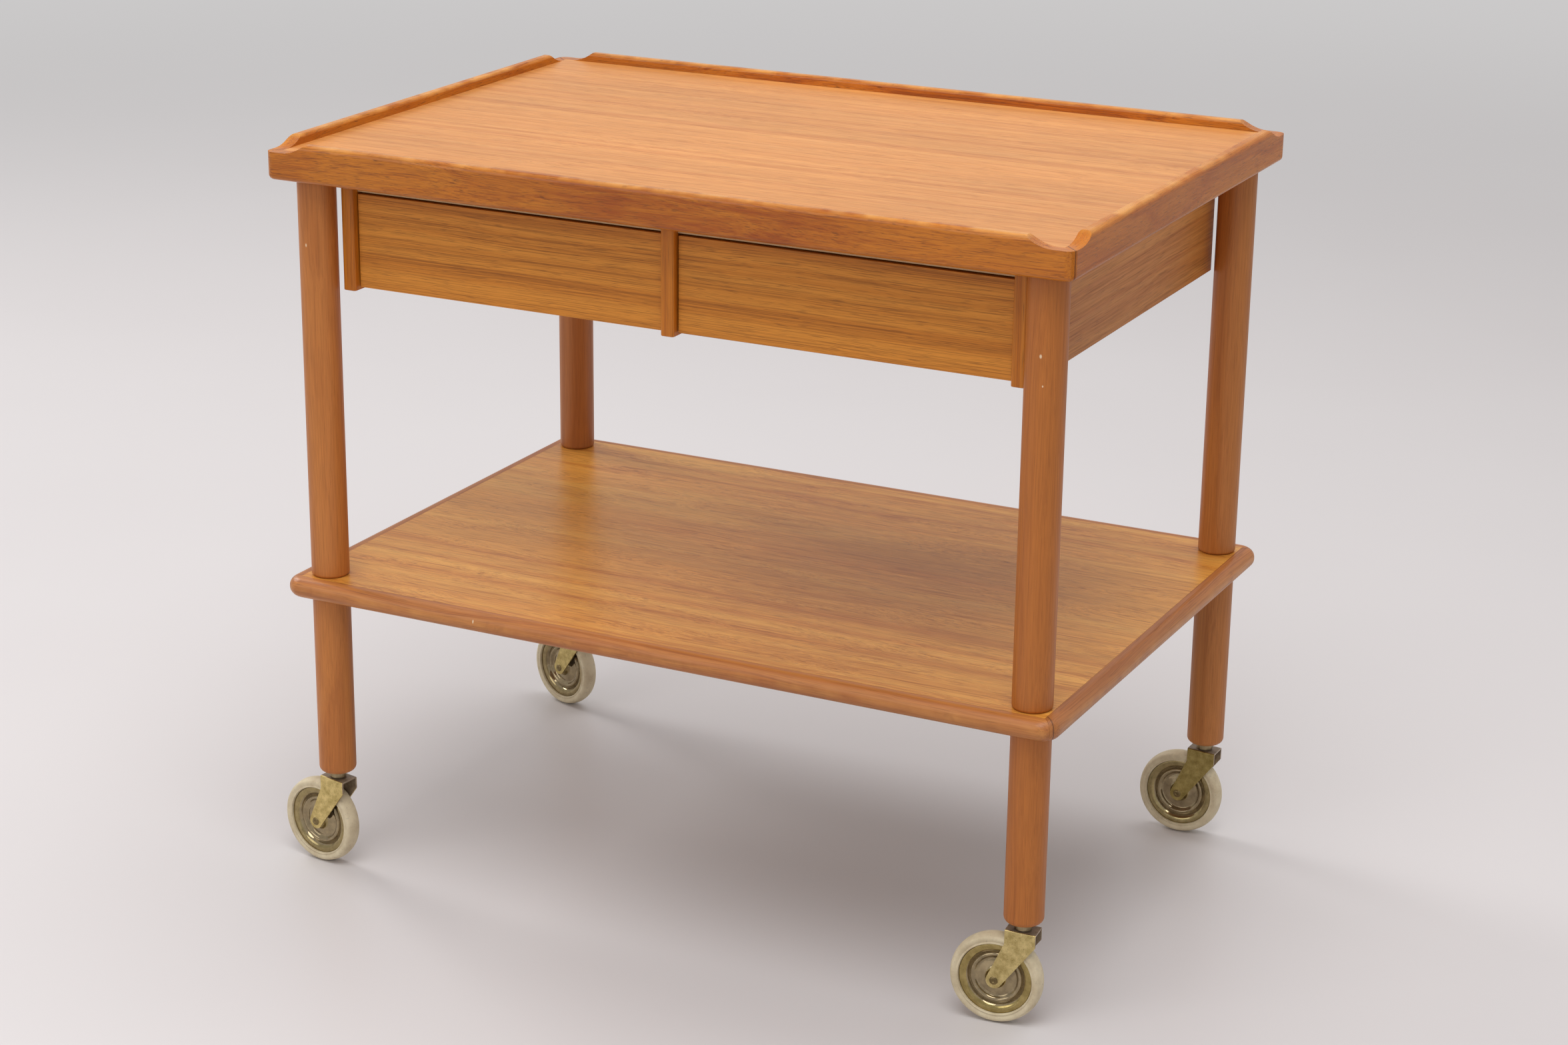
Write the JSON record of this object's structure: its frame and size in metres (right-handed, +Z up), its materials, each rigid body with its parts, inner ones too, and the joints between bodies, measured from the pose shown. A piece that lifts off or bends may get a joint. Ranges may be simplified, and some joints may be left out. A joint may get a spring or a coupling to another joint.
{
  "type": "serving trolley",
  "caption": "Teak serving trolley with a galleried tray top, inset drawers under it, a lower shelf on round legs and brass-forked swivel casters.",
  "frame": {"origin": "on the floor, under the middle of the whole trolley's box with the casters trailing to -X as pictured", "axes": "+X along the length, to the right as seen from the drawer side; +Y to the rear, away from the drawers; +Z up"},
  "size_m": [0.7284, 0.476, 0.6423],
  "materials": {
    "teak_veneer": "satin oiled veneer, grain along the length",
    "teak_solid": "satin oiled solid wood",
    "plywood": "sanded plywood",
    "beech": "plain sanded hardwood",
    "brass_plate": "worn brass plating with brown patina",
    "steel": "dull turned steel",
    "tyre_rubber": "aged cream rubber"
  },
  "bodies": {
    "frame": {"top_panel": "teak_veneer", "top_rail_front": "teak_solid", "top_rail_rear": "teak_solid", "top_rail_left": "teak_solid", "top_rail_right": "teak_solid", "upper_leg_front_left": "teak_solid", "upper_leg_front_right": "teak_solid", "upper_leg_rear_right": "teak_solid", "upper_leg_rear_left": "teak_solid", "lower_leg_front_left": "teak_solid", "lower_leg_front_right": "teak_solid", "lower_leg_rear_right": "teak_solid", "lower_leg_rear_left": "teak_solid", "leg_dowels": "beech", "caster_sockets": "steel", "shelf_panel": "teak_veneer", "shelf_lipping_front": "teak_solid", "shelf_lipping_rear": "teak_solid", "shelf_lipping_left": "teak_solid", "shelf_lipping_right": "teak_solid", "case_side_left": "teak_veneer", "case_side_right": "teak_veneer", "case_divider": "plywood", "case_back": "plywood", "case_strip_left": "teak_solid", "case_strip_centre": "teak_solid", "case_strip_right": "teak_solid", "case_cross_rails": "beech", "drawer_runners": "beech"},
    "drawer_left": {"drawer_left_front": "teak_veneer", "drawer_left_side_left": "beech", "drawer_left_side_right": "beech", "drawer_left_back": "beech", "drawer_left_bottom": "plywood"},
    "drawer_right": {"drawer_right_front": "teak_veneer", "drawer_right_side_left": "beech", "drawer_right_side_right": "beech", "drawer_right_back": "beech", "drawer_right_bottom": "plywood"},
    "caster_front_left": {"caster_front_left_stem": "steel", "caster_front_left_fork": "brass_plate", "caster_front_left_axle": "steel"},
    "wheel_front_left": {"caster_front_left_disc": "brass_plate", "caster_front_left_tyre": "tyre_rubber"},
    "caster_front_right": {"caster_front_right_stem": "steel", "caster_front_right_fork": "brass_plate", "caster_front_right_axle": "steel"},
    "wheel_front_right": {"caster_front_right_disc": "brass_plate", "caster_front_right_tyre": "tyre_rubber"},
    "caster_rear_right": {"caster_rear_right_stem": "steel", "caster_rear_right_fork": "brass_plate", "caster_rear_right_axle": "steel"},
    "wheel_rear_right": {"caster_rear_right_disc": "brass_plate", "caster_rear_right_tyre": "tyre_rubber"},
    "caster_rear_left": {"caster_rear_left_stem": "steel", "caster_rear_left_fork": "brass_plate", "caster_rear_left_axle": "steel"},
    "wheel_rear_left": {"caster_rear_left_disc": "brass_plate", "caster_rear_left_tyre": "tyre_rubber"}
  },
  "joints": [
    {"name": "drawer_left_slide", "type": "slide", "parent": "frame", "child": "drawer_left", "axis": [0, -1, 0], "range_m": [0, 0.25]},
    {"name": "drawer_right_slide", "type": "slide", "parent": "frame", "child": "drawer_right", "axis": [0, -1, 0], "range_m": [0, 0.25]},
    {"name": "caster_front_left_swivel", "type": "hinge", "parent": "frame", "child": "caster_front_left", "pos_m": [-0.30633, -0.2085, 0.0893], "axis": [0, 0, 1], "continuous": true},
    {"name": "wheel_front_left_roll", "type": "hinge", "parent": "caster_front_left", "child": "wheel_front_left", "pos_m": [-0.32614, -0.20574, 0.038], "axis": [0.1378, 0.9905, 0], "continuous": true},
    {"name": "caster_front_right_swivel", "type": "hinge", "parent": "frame", "child": "caster_front_right", "pos_m": [0.33467, -0.2085, 0.0893], "axis": [0, 0, 1], "continuous": true},
    {"name": "wheel_front_right_roll", "type": "hinge", "parent": "caster_front_right", "child": "wheel_front_right", "pos_m": [0.31479, -0.21063, 0.038], "axis": [-0.1066, 0.9943, 0], "continuous": true},
    {"name": "caster_rear_right_swivel", "type": "hinge", "parent": "frame", "child": "caster_rear_right", "pos_m": [0.33467, 0.2085, 0.0893], "axis": [0, 0, 1], "continuous": true},
    {"name": "wheel_rear_right_roll", "type": "hinge", "parent": "caster_rear_right", "child": "wheel_rear_right", "pos_m": [0.31468, 0.20888, 0.038], "axis": [0.0188, 0.9998, 0], "continuous": true},
    {"name": "caster_rear_left_swivel", "type": "hinge", "parent": "frame", "child": "caster_rear_left", "pos_m": [-0.30633, 0.2085, 0.0893], "axis": [0, 0, 1], "continuous": true},
    {"name": "wheel_rear_left_roll", "type": "hinge", "parent": "caster_rear_left", "child": "wheel_rear_left", "pos_m": [-0.32535, 0.21468, 0.038], "axis": [0.309, 0.9511, 0], "continuous": true}
  ]
}
